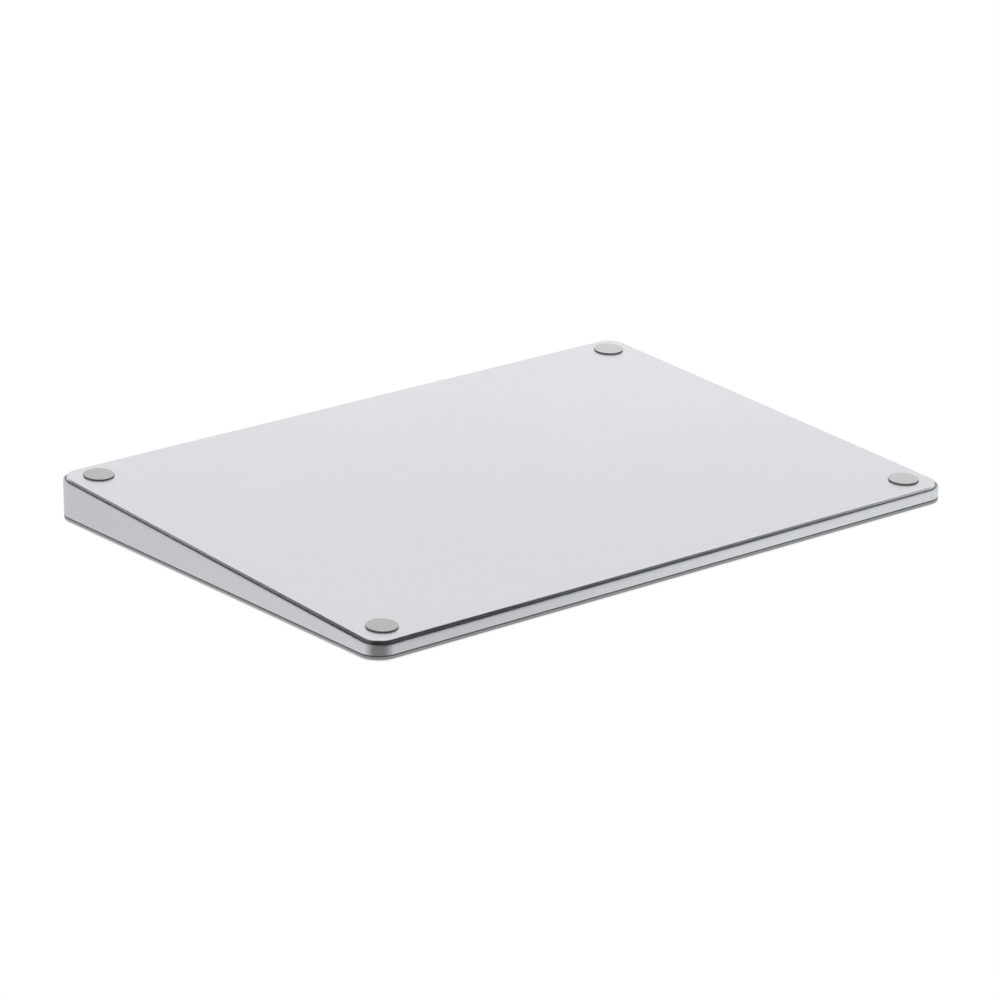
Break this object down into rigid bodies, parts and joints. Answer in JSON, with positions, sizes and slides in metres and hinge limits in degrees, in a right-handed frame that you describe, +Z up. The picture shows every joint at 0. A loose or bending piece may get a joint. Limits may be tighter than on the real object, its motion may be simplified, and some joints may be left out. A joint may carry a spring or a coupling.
{
  "type": "trackpad",
  "caption": "Wedge-shaped wireless trackpad: glass touch plate on sprung sensors over a thin aluminium frame, with rear charging inlet and power switch.",
  "frame": {"origin": "middle of the outline on the desk plane, under the feet", "axes": "+Z up from the desk, +Y from the thin front edge to the thick rear edge, +X to the user's right"},
  "size_m": [0.16, 0.1152, 0.0109],
  "materials": {
    "anodised_aluminium": "bead-blasted and anodised silver, matte",
    "foot_rubber": "matte light grey elastomer",
    "adhesive": "pressure-sensitive adhesive",
    "coated_glass": "etched glass with an opaque white coat on its back",
    "circuit_board": "fibre board with green solder mask",
    "chip_black": "black moulding compound",
    "connector_ivory": "ivory moulded plastic",
    "iron": "soft iron laminations",
    "spring_steel": "rolled steel sheet",
    "gel": "soft translucent gel",
    "cable_film": "polyimide film with copper tracks",
    "screw_steel": "turned steel",
    "copper": "enamelled copper wire",
    "cell_foil": "grey laminated foil pouch",
    "gold": "gold plate",
    "knob_plastic": "light grey moulded plastic",
    "marker_green": "green film"
  },
  "bodies": {
    "base": {"frame": "anodised_aluminium", "bottom_cover": "anodised_aluminium", "foot_front_left": "foot_rubber", "foot_front_right": "foot_rubber", "foot_rear_left": "foot_rubber", "foot_rear_right": "foot_rubber", "cover_adhesive": "adhesive", "battery_tapes": "adhesive", "main_board": "circuit_board", "battery_board": "circuit_board", "board_chips": "chip_black", "inlet_tongue": "chip_black", "switch_body": "chip_black", "antenna": "chip_black", "board_connectors": "connector_ivory", "haptic_core": "iron", "flexure_front_left": "spring_steel", "flexure_front_right": "spring_steel", "flexure_rear_left": "spring_steel", "flexure_rear_right": "spring_steel", "haptic_bracket": "spring_steel", "shield_cans": "spring_steel", "inlet_shell": "spring_steel", "strain_gauges": "cable_film", "sensor_cable_left": "cable_film", "sensor_cable_right": "cable_film", "haptic_cable": "cable_film", "battery_cable": "cable_film", "touch_cable": "cable_film", "flexure_screws": "screw_steel", "haptic_screws": "screw_steel", "board_screws": "screw_steel", "haptic_coil": "copper", "battery": "cell_foil", "inlet_contacts": "gold"},
    "press_stage": {"gel_pads": "gel"},
    "touch_plate": {"touch_glass": "coated_glass", "glass_bond": "adhesive", "touch_board": "circuit_board", "touch_chips": "chip_black", "touch_connector": "connector_ivory", "attraction_plate": "iron"},
    "power_slider": {"power_knob": "knob_plastic", "switch_carrier": "knob_plastic", "on_marker": "marker_green", "switch_lever": "chip_black"}
  },
  "joints": [
    {"name": "touch_press", "type": "slide", "parent": "base", "child": "press_stage", "axis": [0, 0.0522, -0.9986], "range_m": [0, 0.00015], "stiffness_N_per_m": 20000, "deforming": ["flexure_front_left", "flexure_front_right", "flexure_rear_left", "flexure_rear_right"]},
    {"name": "haptic_shake", "type": "slide", "parent": "press_stage", "child": "touch_plate", "axis": [1, 0, 0], "range_m": [-0.0001, 0.0001], "stiffness_N_per_m": 15000},
    {"name": "power_switch", "type": "slide", "parent": "base", "child": "power_slider", "axis": [1, 0, 0], "range_m": [0, 0.0024]}
  ]
}
